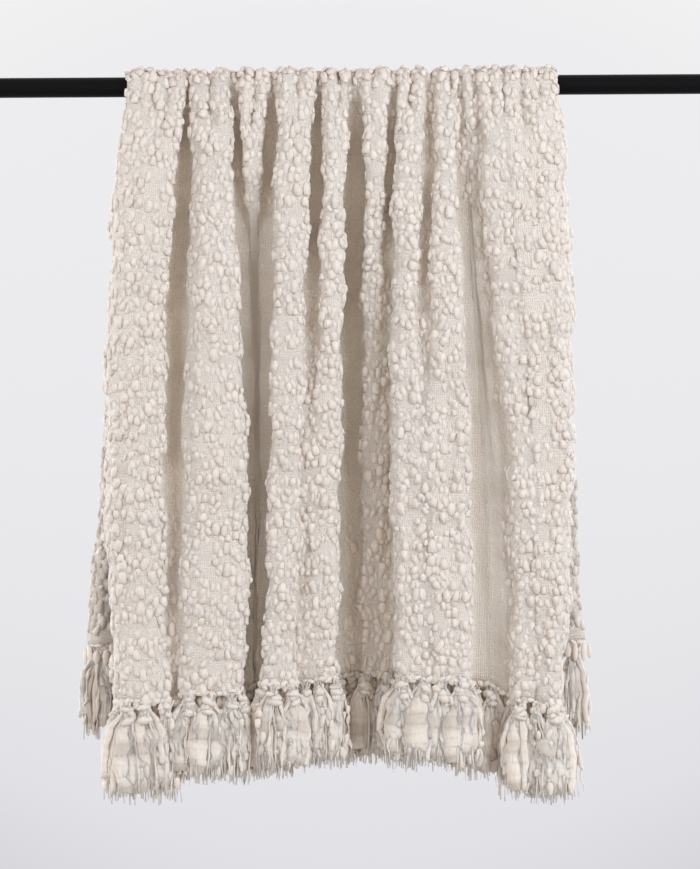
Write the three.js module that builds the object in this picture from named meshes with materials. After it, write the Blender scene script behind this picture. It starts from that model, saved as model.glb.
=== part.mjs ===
// A cream boucle throw hung over a round black rod. The cloth falls in front of the rod and behind it,
// gathered into upright folds, with a knotted fringe along both cut ends.
// Units are millimetres, +Z is up, the front of the throw faces -Y and +X is to its right.
// The origin is the middle of the rod's axis.
import * as THREE from "three";

// Driving sizes
const ROD = { diameter: 25, length: 1000, chamfer: 1, sides: 40 };
const CLOTH = { thickness: 6, overRod: 0.35, nominalHem: 755 };
const FRINGE = { teeth: 44, gap: 0.4, bar: 5, top: 12, neck: 9, neckDrop: 14, end: 17, endDepth: 7, length: 116 };

// Depths below the rod's axis at which the folds of the front are given: the rod, upper, middle, hem
const LEVELS = [0, 205, 418, CLOTH.nominalHem];

// One row for each fold from left to right, with its values at each of the LEVELS.
// left, right: the fold's outer edges; out: how far its crest stands out from the hanging plane;
// dip: the same for the floor of the recess to its right; steps: faces across the crest;
// hem: drop of the front hem there; back: left edge, right edge and stand of the same fold at the back hem.
const FOLDS = [
  { name: "left side", steps: 5, hem: 767, back: [-327, -262, 30],
    left: [-270, -290, -295, -291], right: [-191, -210, -215, -210], out: [12, 46, 54, 54], dip: [0, -2, 8, 38] },
  { name: "second", steps: 5, hem: 756, back: [-244, -188, 36],
    left: [-187, -178, -192, -200], right: [-135, -127, -115, -114], out: [13, 50, 60, 58], dip: [1, -2, -2, -2] },
  { name: "third, sinking back", steps: 3, hem: 748, back: [-166, -104, 28],
    left: [-129, -120, -110, -111], right: [-89, -97, -96, -98], out: [13, 18, 0, -1], dip: [0, -1, -2, -2] },
  { name: "fourth", steps: 4, hem: 746, back: [-86, -46, 38],
    left: [-81, -84, -89, -95], right: [-30, -40, -46, -53], out: [14, 54, 62, 64], dip: [0, 0, 14, 18] },
  { name: "fifth", steps: 4, hem: 740, back: [-30, 2, 28],
    left: [-25, -27, -27, -33], right: [10, 5, 2, 1], out: [13, 48, 52, 54], dip: [2, -2, -2, -2] },
  { name: "sixth, set back", steps: 3, hem: 735, back: [18, 54, 35],
    left: [21, 28, 26, 22], right: [64, 56, 57, 60], out: [12, 30, 10, 1], dip: [0, -1, -2, -2] },
  { name: "seventh", steps: 4, hem: 739, back: [70, 118, 32],
    left: [69, 66, 62, 66], right: [106, 97, 102, 112], out: [13, 52, 60, 60], dip: [0, 0, 26, 56] },
  { name: "eighth", steps: 4, hem: 741, back: [134, 170, 27],
    left: [115, 110, 110, 116], right: [144, 150, 160, 169], out: [13, 54, 60, 60], dip: [3, 0, 0, 2] },
  { name: "ninth, set back", steps: 2, hem: 752, back: [184, 208, 24],
    left: [150, 157, 167, 178], right: [164, 168, 186, 200], out: [12, 6, 4, 6], dip: [3, 2, 4, 6] },
  { name: "tenth", steps: 3, hem: 768, back: [222, 250, 34],
    left: [169, 176, 204, 214], right: [200, 215, 235, 242], out: [12, 42, 42, 46], dip: [6, 34, 38, 45] },
  { name: "right side", steps: 4, hem: 773, back: [264, 306, 28],
    left: [203, 218, 238, 245], right: [271, 289, 291, 278], out: [13, 46, 54, 54], dip: [0, 3, 5, 5] },
];
const SIDE_FOOT = [0, 3, 5, 5];
const VALLEY_STEPS = 3;
const CREST_SHARE = 0.6;

// Rows of the sheet: shares of each drop, and angles over the rod in degrees from its front to its back
const FRONT_ROWS = [1, 0.84, 0.68, 0.52, 0.38, 0.26, 0.17, 0.1, 0.045];
const ROD_ANGLES = [0, 30, 60, 90, 120, 150, 180];
const BACK_ROWS = [0.07, 0.2, 0.4, 0.7, 1];
const CROWN_FLATTEN = 0.4;
const BACK = { drop: 698, floor: -2, unevenDrop: 5, spread: 1.5 };

// Value of a fold's column at a depth, on a smooth curve through the levels
function atDepth(values, depth) {
  const last = LEVELS.length - 1;
  let i = 0;
  while (i < last - 1 && depth > LEVELS[i + 1]) i += 1;
  const slope = (k) => {
    const before = Math.max(k - 1, 0);
    const after = Math.min(k + 1, last);
    return (values[after] - values[before]) / (LEVELS[after] - LEVELS[before]);
  };
  const span = LEVELS[i + 1] - LEVELS[i];
  const t = (depth - LEVELS[i]) / span;
  const start = values[i] + slope(i) * span * t;
  const end = values[i + 1] - slope(i + 1) * span * (1 - t);
  return THREE.MathUtils.lerp(start, end, t * t * (3 - 2 * t));
}

// The folds open quickly just under the rod, so their depth follows an eased depth
function easedDepth(depth) {
  const upper = LEVELS[1];
  return depth < upper ? upper * (depth / upper) ** 0.6 : depth;
}

// Edges, stand and recess of every fold at a depth in front
function frontFolds(depth) {
  const eased = easedDepth(depth);
  return FOLDS.map((fold) => ({
    ...fold,
    left: atDepth(fold.left, depth),
    right: atDepth(fold.right, depth),
    out: atDepth(fold.out, eased),
    dip: atDepth(fold.dip, eased),
  }));
}

// The same over the rod, where the gathers lie flatter towards its top
function rodFolds(angle) {
  const press = 1 - CROWN_FLATTEN * Math.sin(angle);
  return FOLDS.map((fold) => ({
    ...fold,
    left: fold.left[0],
    right: fold.right[0],
    out: fold.out[0] * press,
    dip: fold.dip[0] * press,
  }));
}

// The same behind, where each gather widens evenly to its place at the back hem
function backFolds(share) {
  const spread = share ** BACK.spread;
  const open = share ** 0.5;
  return FOLDS.map((fold) => ({
    ...fold,
    left: THREE.MathUtils.lerp(fold.left[0], fold.back[0], spread),
    right: THREE.MathUtils.lerp(fold.right[0], fold.back[1], spread),
    out: THREE.MathUtils.lerp(fold.out[0], fold.back[2], open),
    dip: THREE.MathUtils.lerp(fold.dip[0], BACK.floor, open),
  }));
}

// Drop of the front hem at a place between the middles of the numbered folds
function hemAt(place) {
  const i = THREE.MathUtils.clamp(Math.floor(place), 0, FOLDS.length - 2);
  const t = THREE.MathUtils.clamp(place - i, 0, 1);
  return THREE.MathUtils.lerp(FOLDS[i].hem, FOLDS[i + 1].hem, t);
}

// A level section of the sheet's middle: rounded crests and flat-floored recesses, end to end
function section(folds, sideFoot) {
  const half = CLOTH.thickness / 2;
  const points = [];
  const arch = (from, to, steps, first, peak, places) => {
    for (let k = first; k <= steps - first; k += 1) {
      const t = k / steps;
      const foot = THREE.MathUtils.lerp(from.out, to.out, t);
      points.push({
        x: THREE.MathUtils.lerp(from.x, to.x, (1 - Math.cos(Math.PI * t)) / 2),
        out: THREE.MathUtils.lerp(foot, peak, Math.sin(Math.PI * t) ** 0.5),
        hem: hemAt(THREE.MathUtils.lerp(places[0], places[1], t)),
      });
    }
  };
  folds.forEach((fold, i) => {
    const before = folds[i - 1];
    const after = folds[i + 1];
    const left = { x: fold.left + half, out: before ? (fold.out + before.dip) / 2 : sideFoot };
    const right = { x: fold.right - half, out: after ? (fold.out + fold.dip) / 2 : sideFoot };
    arch(left, right, fold.steps, 0, fold.out, [i - CREST_SHARE / 2, i + CREST_SHARE / 2]);
    if (!after) return;
    const next = { x: after.left + half, out: (after.out + fold.dip) / 2 };
    arch(right, next, VALLEY_STEPS, 1, fold.dip, [i + CREST_SHARE / 2, i + 1 - CREST_SHARE / 2]);
  });
  return points;
}

// Rows of points of the sheet's middle surface, from the front hem over the rod to the back hem
function sheetRows() {
  const hang = ROD.diameter / 2 + CLOTH.overRod + CLOTH.thickness / 2;
  const front = FRONT_ROWS.map((share) => {
    const depth = share * CLOTH.nominalHem;
    return section(frontFolds(depth), atDepth(SIDE_FOOT, easedDepth(depth))).map(
      (p) => new THREE.Vector3(p.x, -hang - p.out, -share * p.hem),
    );
  });
  const over = ROD_ANGLES.map((degrees) => {
    const angle = THREE.MathUtils.degToRad(degrees);
    return section(rodFolds(angle), SIDE_FOOT[0]).map((p) => {
      const radius = hang + p.out;
      return new THREE.Vector3(p.x, -radius * Math.cos(angle), radius * Math.sin(angle));
    });
  });
  const back = BACK_ROWS.map((share) =>
    section(backFolds(share), SIDE_FOOT[1] * share).map((p) => {
      const drop = BACK.drop + BACK.unevenDrop * Math.sin(p.x / 90);
      return new THREE.Vector3(p.x, hang + p.out, -share * drop);
    }),
  );
  return [...front, ...over, ...back];
}

// Unit normals of a grid of points: each halves the turn of its row there, points away from the rod,
// and is level along both hems
function gridNormals(rows) {
  const lastRow = rows.length - 1;
  return rows.map((row, j) =>
    row.map((point, i) => {
      const upward = rows[Math.min(j + 1, lastRow)][i].clone().sub(rows[Math.max(j - 1, 0)][i]);
      const normal = new THREE.Vector3();
      if (i > 0) normal.add(point.clone().sub(row[i - 1]).cross(upward).normalize());
      if (i < row.length - 1) normal.add(row[i + 1].clone().sub(point).cross(upward).normalize());
      if (j === 0 || j === lastRow) normal.setZ(0);
      return normal.normalize();
    }),
  );
}

// Collects triangles by vertex number and makes a closed geometry from them
class Shell {
  constructor() {
    this.positions = [];
    this.indices = [];
  }

  point(v) {
    this.positions.push(v.x, v.y, v.z);
    return this.positions.length / 3 - 1;
  }

  triangle(a, b, c) {
    this.indices.push(a, b, c);
  }

  quad(a, b, c, d) {
    this.triangle(a, b, c);
    this.triangle(a, c, d);
  }

  geometry() {
    const geometry = new THREE.BufferGeometry();
    geometry.setAttribute("position", new THREE.Float32BufferAttribute(this.positions, 3));
    geometry.setIndex(this.indices);
    return geometry;
  }
}

// The outer and inner surfaces of the sheet, half a thickness to each side of its middle
function sheetFaces() {
  const rows = sheetRows();
  const normals = gridNormals(rows);
  const shifted = (distance) =>
    rows.map((row, j) => row.map((p, i) => p.clone().addScaledVector(normals[j][i], distance)));
  return { outer: shifted(CLOTH.thickness / 2), inner: shifted(-CLOTH.thickness / 2) };
}

function blanketGeometry(faces) {
  const shell = new Shell();
  const outer = faces.outer.map((row) => row.map((p) => shell.point(p)));
  const inner = faces.inner.map((row) => row.map((p) => shell.point(p)));
  const lastRow = outer.length - 1;
  const lastColumn = outer[0].length - 1;
  for (let j = 0; j < lastRow; j += 1) {
    for (let i = 0; i < lastColumn; i += 1) {
      shell.quad(outer[j][i], outer[j][i + 1], outer[j + 1][i + 1], outer[j + 1][i]);
      shell.quad(inner[j][i + 1], inner[j][i], inner[j + 1][i], inner[j + 1][i + 1]);
    }
    shell.quad(inner[j][0], outer[j][0], outer[j + 1][0], inner[j + 1][0]);
    shell.quad(outer[j][lastColumn], inner[j][lastColumn], inner[j + 1][lastColumn], outer[j + 1][lastColumn]);
  }
  for (let i = 0; i < lastColumn; i += 1) {
    shell.quad(inner[0][i], inner[0][i + 1], outer[0][i + 1], outer[0][i]);
    shell.quad(outer[lastRow][i], outer[lastRow][i + 1], inner[lastRow][i + 1], inner[lastRow][i]);
  }
  return shell.geometry();
}

// Point of a polyline at a share between its numbered points
function along(points, place) {
  const i = Math.min(Math.floor(place), points.length - 2);
  return points[i].clone().lerp(points[i + 1], place - i);
}

// Places along the hem, in numbered points, at which the teeth start and end: evenly spaced by length
function toothPlaces(outer, inner) {
  const middle = outer.map((p, i) => p.clone().lerp(inner[i], 0.5));
  const lengths = [0];
  for (let i = 1; i < middle.length; i += 1) lengths.push(lengths[i - 1] + middle[i].distanceTo(middle[i - 1]));
  const total = lengths[lengths.length - 1];
  const pitch = total / FRINGE.teeth;
  const placeAt = (length) => {
    let i = 0;
    while (i < lengths.length - 2 && lengths[i + 1] < length) i += 1;
    return i + (length - lengths[i]) / (lengths[i + 1] - lengths[i]);
  };
  return Array.from({ length: FRINGE.teeth }, (_, k) => {
    const centre = (k + 0.5) * pitch;
    return { from: placeAt(centre - FRINGE.top / 2), to: placeAt(centre + FRINGE.top / 2) };
  });
}

// One comb: a bar that follows the hem just under it, with a tapering tooth for each tassel
function combGeometry(outer, inner) {
  const teeth = toothPlaces(outer, inner);
  const places = outer.map((_, i) => ({ at: i, tooth: teeth.findIndex((t) => i > t.from && i < t.to) }));
  teeth.forEach((t, k) => places.push({ at: t.from, tooth: k }, { at: t.to, tooth: -1 }));
  places.sort((a, b) => a.at - b.at);

  const shell = new Shell();
  const corners = places.map(({ at }) => {
    const put = (points, drop) => {
      const p = along(points, at);
      p.z -= drop;
      return shell.point(p);
    };
    const foot = FRINGE.gap + FRINGE.bar;
    return {
      topOuter: put(outer, FRINGE.gap),
      topInner: put(inner, FRINGE.gap),
      footOuter: put(outer, foot),
      footInner: put(inner, foot),
    };
  });
  const last = corners.length - 1;
  for (let i = 0; i < last; i += 1) {
    const a = corners[i];
    const b = corners[i + 1];
    shell.quad(a.footOuter, b.footOuter, b.topOuter, a.topOuter);
    shell.quad(b.footInner, a.footInner, a.topInner, b.topInner);
    shell.quad(a.topInner, a.topOuter, b.topOuter, b.topInner);
    if (places[i].tooth < 0) shell.quad(a.footInner, b.footInner, b.footOuter, a.footOuter);
  }
  const [start, end] = [corners[0], corners[last]];
  shell.quad(start.footInner, start.footOuter, start.topOuter, start.topInner);
  shell.quad(end.footOuter, end.footInner, end.topInner, end.topOuter);

  teeth.forEach((tooth, k) => {
    const first = places.findIndex((p) => p.tooth === k);
    let stop = first;
    while (places[stop].tooth === k) stop += 1;
    const run = corners.slice(first, stop + 1);
    addTooth(shell, run, k, along(outer, tooth.from), along(outer, tooth.to), along(inner, tooth.from), along(inner, tooth.to));
  });
  return shell.geometry();
}

// A tooth hangs straight down from its run of the bar, through a narrow neck to a wider, flatter end
function addTooth(shell, run, k, outerFrom, outerTo, innerFrom, innerTo) {
  const from = outerFrom.clone().lerp(innerFrom, 0.5);
  const to = outerTo.clone().lerp(innerTo, 0.5);
  const centre = from.clone().lerp(to, 0.5);
  const side = to.clone().sub(from).setZ(0).normalize();
  const out = outerFrom.clone().sub(innerFrom).add(outerTo).sub(innerTo).setZ(0);
  out.addScaledVector(side, -out.dot(side)).normalize();
  const length = FRINGE.length + 5 * Math.sin(1.7 * k) + 3 * Math.cos(0.6 * k);
  const ring = (width, depth, drop) =>
    [[-1, 1], [1, 1], [1, -1], [-1, -1]].map(([s, o]) => {
      const p = centre.clone().addScaledVector(side, (s * width) / 2).addScaledVector(out, (o * depth) / 2);
      p.z = centre.z - FRINGE.gap - drop;
      return shell.point(p);
    });
  const neck = ring(FRINGE.neck, CLOTH.thickness, FRINGE.neckDrop);
  const end = ring(FRINGE.end, FRINGE.endDepth, length);
  const last = run.length - 1;
  const middle = Math.ceil(last / 2);
  for (let i = 0; i < last; i += 1) {
    const [left, right] = i < middle ? [neck[0], neck[3]] : [neck[1], neck[2]];
    shell.triangle(left, run[i + 1].footOuter, run[i].footOuter);
    shell.triangle(right, run[i].footInner, run[i + 1].footInner);
  }
  shell.triangle(neck[0], neck[1], run[middle].footOuter);
  shell.triangle(neck[2], neck[3], run[middle].footInner);
  shell.quad(neck[3], neck[0], run[0].footOuter, run[0].footInner);
  shell.quad(neck[1], neck[2], run[last].footInner, run[last].footOuter);
  for (let s = 0; s < 4; s += 1) {
    const next = (s + 1) % 4;
    shell.quad(end[s], end[next], neck[next], neck[s]);
  }
  shell.quad(end[3], end[2], end[1], end[0]);
}

// A plain tube end to end along X, with a small chamfer at each flat end
function rodGeometry() {
  const radius = ROD.diameter / 2;
  const half = ROD.length / 2;
  const profile = [
    new THREE.Vector2(0, -half),
    new THREE.Vector2(radius - ROD.chamfer, -half),
    new THREE.Vector2(radius, -half + ROD.chamfer),
    new THREE.Vector2(radius, half - ROD.chamfer),
    new THREE.Vector2(radius - ROD.chamfer, half),
    new THREE.Vector2(0, half),
  ];
  return new THREE.LatheGeometry(profile, ROD.sides);
}

const boucle = (color) => new THREE.MeshStandardMaterial({ color, roughness: 0.95, metalness: 0 });

const part = new THREE.Group();

const rod = new THREE.Mesh(
  rodGeometry(),
  new THREE.MeshStandardMaterial({ color: 0x0c0c0d, roughness: 0.45, metalness: 0.2 }),
);
rod.name = "rod";
rod.rotation.z = -Math.PI / 2;
part.add(rod);

const faces = sheetFaces();
const blanket = new THREE.Mesh(blanketGeometry(faces), boucle(0xe3ddd3));
blanket.name = "blanket";
part.add(blanket);

const frontFringe = new THREE.Mesh(combGeometry(faces.outer[0], faces.inner[0]), boucle(0xddd5c9));
frontFringe.name = "fringe_front";
part.add(frontFringe);

// The back hem is read from right to left, so that its outer side stays the outer one
const backRow = faces.outer.length - 1;
const backFringe = new THREE.Mesh(
  combGeometry([...faces.outer[backRow]].reverse(), [...faces.inner[backRow]].reverse()),
  boucle(0xddd5c9),
);
backFringe.name = "fringe_back";
part.add(backFringe);

export default part;
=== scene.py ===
"""A cream boucle throw hung over a round black rod.

The throw falls in front of the rod and behind it, gathered into upright folds, and each cut end carries a
knotted fringe. Tables and sizes of the cloth are in millimetres, scaled to metres where a mesh is made. +Z is
up, the front of the throw faces -Y and +X is to its right. The origin is the middle of the rod's axis.
"""

import functools
import math
from collections import namedtuple

import bmesh
import bpy
import numpy as np
from bpy.props import FloatProperty, FloatVectorProperty, IntProperty, PointerProperty
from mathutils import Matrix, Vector, noise


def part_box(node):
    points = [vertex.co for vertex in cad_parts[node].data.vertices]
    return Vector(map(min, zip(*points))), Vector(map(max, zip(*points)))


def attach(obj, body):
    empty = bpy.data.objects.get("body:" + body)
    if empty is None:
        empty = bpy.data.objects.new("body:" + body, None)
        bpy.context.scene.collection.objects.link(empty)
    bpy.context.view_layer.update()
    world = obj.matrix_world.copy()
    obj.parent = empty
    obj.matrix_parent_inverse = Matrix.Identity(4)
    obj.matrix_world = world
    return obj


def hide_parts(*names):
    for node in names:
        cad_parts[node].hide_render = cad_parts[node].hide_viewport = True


bl_info = {
    "name": "Boucle throw on a rod",
    "version": (1, 0, 0),
    "blender": (4, 5, 0),
    "location": "View3D > Sidebar > Throw",
    "description": "Makes a slubbed throw with a knotted fringe, hung in folds over a rod",
    "category": "Object",
}

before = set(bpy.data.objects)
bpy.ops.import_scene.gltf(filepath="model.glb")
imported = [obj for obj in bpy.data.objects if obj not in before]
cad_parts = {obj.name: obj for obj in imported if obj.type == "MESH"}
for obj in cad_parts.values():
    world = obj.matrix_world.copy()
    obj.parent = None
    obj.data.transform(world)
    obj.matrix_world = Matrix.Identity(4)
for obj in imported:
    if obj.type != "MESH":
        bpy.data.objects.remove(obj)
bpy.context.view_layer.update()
MM = 0.001
ROD_LOW, ROD_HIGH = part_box("rod")
ROD_RADIUS = (ROD_HIGH.z - ROD_LOW.z) / 2 / MM


def tone(red, green, blue):
    """A colour given as it looks on a screen, from 0 to 255, as the linear colour that the shaders use"""
    shares = (red / 255, green / 255, blue / 255)
    return tuple(s / 12.92 if s <= 0.04045 else ((s + 0.055) / 1.055) ** 2.4 for s in shares)


# ---------------------------------------------------------------------------------------------------------
# Sizes and colours that a user may change


def length(name, description, default):
    return FloatProperty(
        name=name, description=description, default=default, unit="LENGTH", min=0.0, precision=4
    )


def number(name, description, default, least):
    return IntProperty(name=name, description=description, default=default, min=least)


def colour(name, description, default):
    return FloatVectorProperty(
        name=name, description=description, default=default, subtype="COLOR", size=3, min=0.0, max=1.0
    )


class ClothSizes(bpy.types.PropertyGroup):
    """The ground cloth"""

    width: length("Width", "Width of the cloth before it was hung", 1.27)
    length: length("Length", "Length of the cloth between its two fringes, before it was hung", 1.52)
    thickness: length("Thickness", "Thickness of the ground weave", 0.002)
    crest_columns: number("Crest columns", "Faces across each fold", 10, 4)
    recess_columns: number("Recess columns", "Faces across each recess", 7, 4)
    rows: number("Rows", "Rows of faces from hem to hem", 138, 20)


class SlubSizes(bpy.types.PropertyGroup):
    """The thick places of the yarn that cover the face of the cloth"""

    width: length("Width", "Width of a middling slub", 0.0100)
    length: length("Length", "Length of a middling slub", 0.0140)
    height: length("Height", "Depth of a middling slub through the cloth", 0.0058)
    across: length("Spacing across", "Distance between neighbouring columns of slubs", 0.0080)
    along: length("Spacing along", "Distance between rows of slubs", 0.0104)
    bare: FloatProperty(
        name="Bare share",
        description="Share of the cloth that shows its ground weave",
        default=0.09,
        subtype="FACTOR",
    )


class FringeSizes(bpy.types.PropertyGroup):
    """The knotted tassels along both hems"""

    tassels: number("Tassels", "Tassels along each hem", 36, 2)
    length: length("Length", "Length of the tassels below the hem", 0.116)
    spread: length("Spread", "Width of a middling tassel at its foot", 0.041)
    knot: length("Knot", "Width of a middling tassel's knot", 0.0185)
    knot_drop: length("Knot drop", "Distance of the knots below the hem", 0.0165)
    yarn: length("Yarn", "Thickness of a fringe yarn", 0.0021)
    yarns: number("Yarns", "Plain yarns in a middling tassel", 18, 3)
    slubbed: number("Slubbed yarns", "Thick and thin yarns in each tassel", 4, 0)
    locks: number("Locks", "Thick soft locks of wool in each tassel", 13, 1)
    puffs: number("Puffs", "Short thick slubs on the face of each tassel", 24, 0)


class Colours(bpy.types.PropertyGroup):
    """Colours of the throw, its rod and the studio"""

    slub: colour("Slub", "Cream of the slubs", tone(241, 228, 212))
    ground: colour("Ground", "Cream of the ground weave", tone(238, 225, 208))
    yarn: colour("Fringe yarn", "Cream of the fringe", tone(242, 228, 210))
    rod: colour("Rod", "Black paint of the rod", tone(11, 10, 10))
    floor: colour("Floor", "Pale studio floor", tone(185, 182, 179))


class ThrowSettings(bpy.types.PropertyGroup):
    """All settings of the throw"""

    cloth: PointerProperty(type=ClothSizes)
    slubs: PointerProperty(type=SlubSizes)
    fringe: PointerProperty(type=FringeSizes)
    colours: PointerProperty(type=Colours)


# ---------------------------------------------------------------------------------------------------------
# How the cloth hangs, in millimetres

# Depths below the rod's axis at which the folds are given
LEVELS = (0, 67, 205, 418, 567, 755)
NOMINAL_DROP = LEVELS[-1]

# left, right: edges of the fold at the LEVELS; out: how far its crest stands out from the hanging plane
# there; dip: the same for the floor of the recess to its right; flank: how gently its two sides turn, from
# 0.5 where they are steep to 1.5 where they slope; hem: drop of the front hem there; back: left edge, right
# edge and stand of the same fold at the back hem
Fold = namedtuple("Fold", "name hem back flank left right out dip")
FOLDS = (
    Fold("left side", 765, (-319, -262, 10), (1.1, 0.5),
         (-270, -279, -289, -294, -292, -281), (-191, -197, -210, -215, -215, -209),
         (12, 30, 46, 54, 54, 54), (0, 1, 8, 23, 32, 41)),
    Fold("second", 754, (-244, -188, 36), (1.5, 0.5),
         (-189, -189, -189, -196, -196, -200), (-138, -134, -127, -115, -111, -114),
         (13, 32, 50, 60, 60, 58), (1, 2, 13, 24, 26, 26)),
    Fold("third, sinking back", 746, (-166, -104, 28), (0.6, 0.6),
         (-129, -125, -118, -110, -108, -110), (-89, -95, -98, -96, -98, -102),
         (13, 25, 15, 25, 27, 27), (0, 2, 13, 24, 26, 26)),
    Fold("fourth", 744, (-86, -46, 38), (0.5, 0.7),
         (-81, -82, -84, -88, -91, -97), (-30, -34, -40, -46, -49, -54),
         (14, 36, 54, 62, 63, 64), (0, 5, 24, 46, 46, 45)),
    Fold("fifth", 738, (-30, 2, 28), (1.1, 0.5),
         (-25, -25, -26, -30, -33, -35), (10, 9, 6, 3, 1, 0),
         (13, 34, 50, 53, 50, 45), (2, 0, -7, -13, -16, -17)),
    Fold("sixth, set back", 733, (18, 54, 35), (0.6, 1.0),
         (21, 29, 27, 26, 25, 25), (64, 58, 56, 58, 60, 60),
         (12, 30, 32, 20, 8, 2), (0, 10, 21, 15, 4, 0)),
    Fold("seventh", 737, (70, 118, 32), (0.9, 0.8),
         (69, 66, 64, 61, 64, 70), (106, 104, 98, 100, 104, 110),
         (13, 34, 54, 60, 60, 60), (0, 16, 34, 56, 58, 58)),
    Fold("eighth", 739, (134, 170, 27), (1.0, 0.5),
         (115, 115, 112, 110, 112, 116), (146, 144, 150, 161, 165, 169),
         (13, 34, 54, 60, 60, 60), (3, 13, 24, 25, 25, 24)),
    Fold("ninth, set back", 750, (184, 208, 24), (1.5, 1.2),
         (150, 152, 158, 172, 178, 182), (164, 165, 170, 190, 200, 204),
         (12, 16, 26, 28, 28, 27), (3, 16, 30, 32, 32, 30)),
    Fold("tenth", 766, (222, 250, 34), (1.4, 1.2),
         (169, 172, 180, 204, 212, 214), (200, 205, 215, 235, 240, 242),
         (12, 32, 48, 52, 52, 50), (6, 30, 46, 51, 51, 49)),
    Fold("right side", 771, (264, 308, 10), (1.2, 0.95),
         (203, 208, 218, 238, 243, 245), (271, 280, 289, 292, 290, 279),
         (13, 33, 50, 56, 55, 54), (0, 3, 5, 5, 5, 5)),
)
SIDE_FOOT = (0, 2, 3, 5, 5, 5)
BACK_SIDE_STAND = 26   # how far the side edges of the back half stand out at its hem
BACK_DROP = 698
BACK_FLOOR = -2
OVER_ROD = 3.35        # from the rod's skin to the middle of the cloth
FOOT_INSET = 3.0       # from a fold's edge to the middle of the cloth that makes it
TUCK = 7.0             # how far the foot of a tall steep fold is drawn in under its edges
TALL_SIDE = 22.0       # a side as tall as this is drawn in fully
LOW_SIDE = 8.0         # a side lower than this runs out more gently
GENTLE = 1.5           # the flank of a side that runs out level with its foot
CROWN_FLATTEN = 0.4    # how far the gathers lie down on the top of the rod
LEAN = 0.0093          # how far the throw hangs to the left for each step down
FRONT_WAVER = 2.1      # unevenness of the edges of the folds in front and behind, and of their crests
BACK_WAVER = 1.5
CREST_WAVER = 1.4
FREE_DEPTH = 60.0      # depth in front by which the folds waver fully, and the same behind as a share
FREE_SHARE = 0.1
EVEN_BELOW = 30.0      # the edges of a fold narrower than this are evener
BACK_WAVER_START = 900.0    # keeps the waver behind unlike the one in front
SPREAD_POWER = 1.15    # how the folds behind widen, and how they come to stand, down to their hem
STAND_POWER = 0.5

# Troughs in the crests: the fold that each one follows, its place from the fold's left edge as a share of
# its width, its width and depth, and the depths below the rod between which it shows. One that starts at the
# rod also runs over it.
Crease = namedtuple("Crease", "fold across width deep start end")
CREASES = (
    Crease("left side", 0.30, 4.3, 4, 0, 40),
    Crease("left side", 0.48, 5.1, 6, 0, 34),
    Crease("left side", 0.72, 5.1, 8, 0, 46),
    Crease("left side", 0.34, 11.0, 7, 300, 760),
    Crease("second", 0.50, 5.8, 11, 0, 62),
    Crease("second", 0.24, 4.1, 4, 0, 24),
    Crease("third, sinking back", 0.50, 4.6, 10, 0, 58),
    Crease("fourth", 0.52, 5.8, 9, 0, 24),
    Crease("fifth", 0.62, 4.6, 10, 0, 34),
    Crease("sixth, set back", 0.40, 4.3, 7, 0, 22),
    Crease("seventh", 0.52, 5.2, 11, 0, 42),
    Crease("seventh", 0.55, 7.0, 4, 330, 740),
    Crease("eighth", 0.62, 4.3, 7, 0, 26),
    Crease("eighth", 0.50, 9.0, 4, 300, 700),
    Crease("tenth", 0.55, 4.3, 5, 0, 48),
    Crease("right side", 0.30, 5.2, 7, 0, 70),
    Crease("right side", 0.62, 4.9, 5, 0, 36),
    Crease("right side", 0.45, 13.0, 6, 170, 640),
)

CREST_FADE = 12.0      # how a crease that starts at the rod fades out, and how another fades in and out
CREASE_FADE = 90.0
CREST_STEPS = 64       # fine points across a fold and across a recess, from which rows are spaced evenly
RECESS_STEPS = 40
FINE_RUN = 4.0         # distance between the fine rows
WIDE_STEP = 4          # columns to each side from which the slope across is taken


def on_curve(values, depth):
    """Value of a fold's column at a depth, on a smooth curve through the levels"""
    last = len(LEVELS) - 1
    i = 0
    while i < last - 1 and depth > LEVELS[i + 1]:
        i += 1

    def slope(k):
        before, after = max(k - 1, 0), min(k + 1, last)
        return (values[after] - values[before]) / (LEVELS[after] - LEVELS[before])

    span = LEVELS[i + 1] - LEVELS[i]
    t = (depth - LEVELS[i]) / span
    start = values[i] + slope(i) * span * t
    end = values[i + 1] - slope(i + 1) * span * (1 - t)
    blend = t * t * (3 - 2 * t)
    return start + (end - start) * blend


def waver(number, run, size):
    """Unevenness of a fold's edge along its run"""
    return size * (math.sin(run / 31 + 2.1 * number) + 0.7 * math.sin(run / 15 + 3.7 * number)
                   + 0.5 * math.sin(run / 7.7 + 1.3 * number))


# Edges, stand and recess of every fold at one level, and the stand of the side edges
Lie = namedtuple("Lie", "left right out dip side")


def wavering(lie, run, edges, crest):
    """The same with uneven edges and crests"""
    return lie._replace(
        left=[x + waver(2 * i, run, edges[i]) for i, x in enumerate(lie.left)],
        right=[x + waver(2 * i + 1, run, edges[i]) for i, x in enumerate(lie.right)],
        out=[out + waver(i + 0.5, run / 2, crest) for i, out in enumerate(lie.out)],
    )


def front_lie(depth):
    """How the folds lie at a depth in front; the edges of a narrow fold are evener"""
    hang = min(depth / FREE_DEPTH, 1)
    edges = [FRONT_WAVER * hang * min((f.right[2] - f.left[2]) / EVEN_BELOW, 1) ** 1.5 for f in FOLDS]
    columns = ([on_curve(getattr(f, column), depth) for f in FOLDS] for column in Lie._fields[:4])
    return wavering(Lie(*columns, on_curve(SIDE_FOOT, depth)), depth, edges, CREST_WAVER * hang)


def rod_lie(angle):
    """The same over the rod, where the gathers lie flatter towards its top"""
    press = 1 - CROWN_FLATTEN * math.sin(angle)
    return Lie(
        [f.left[0] for f in FOLDS],
        [f.right[0] for f in FOLDS],
        [f.out[0] * press for f in FOLDS],
        [f.dip[0] * press for f in FOLDS],
        SIDE_FOOT[0],
    )


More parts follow.
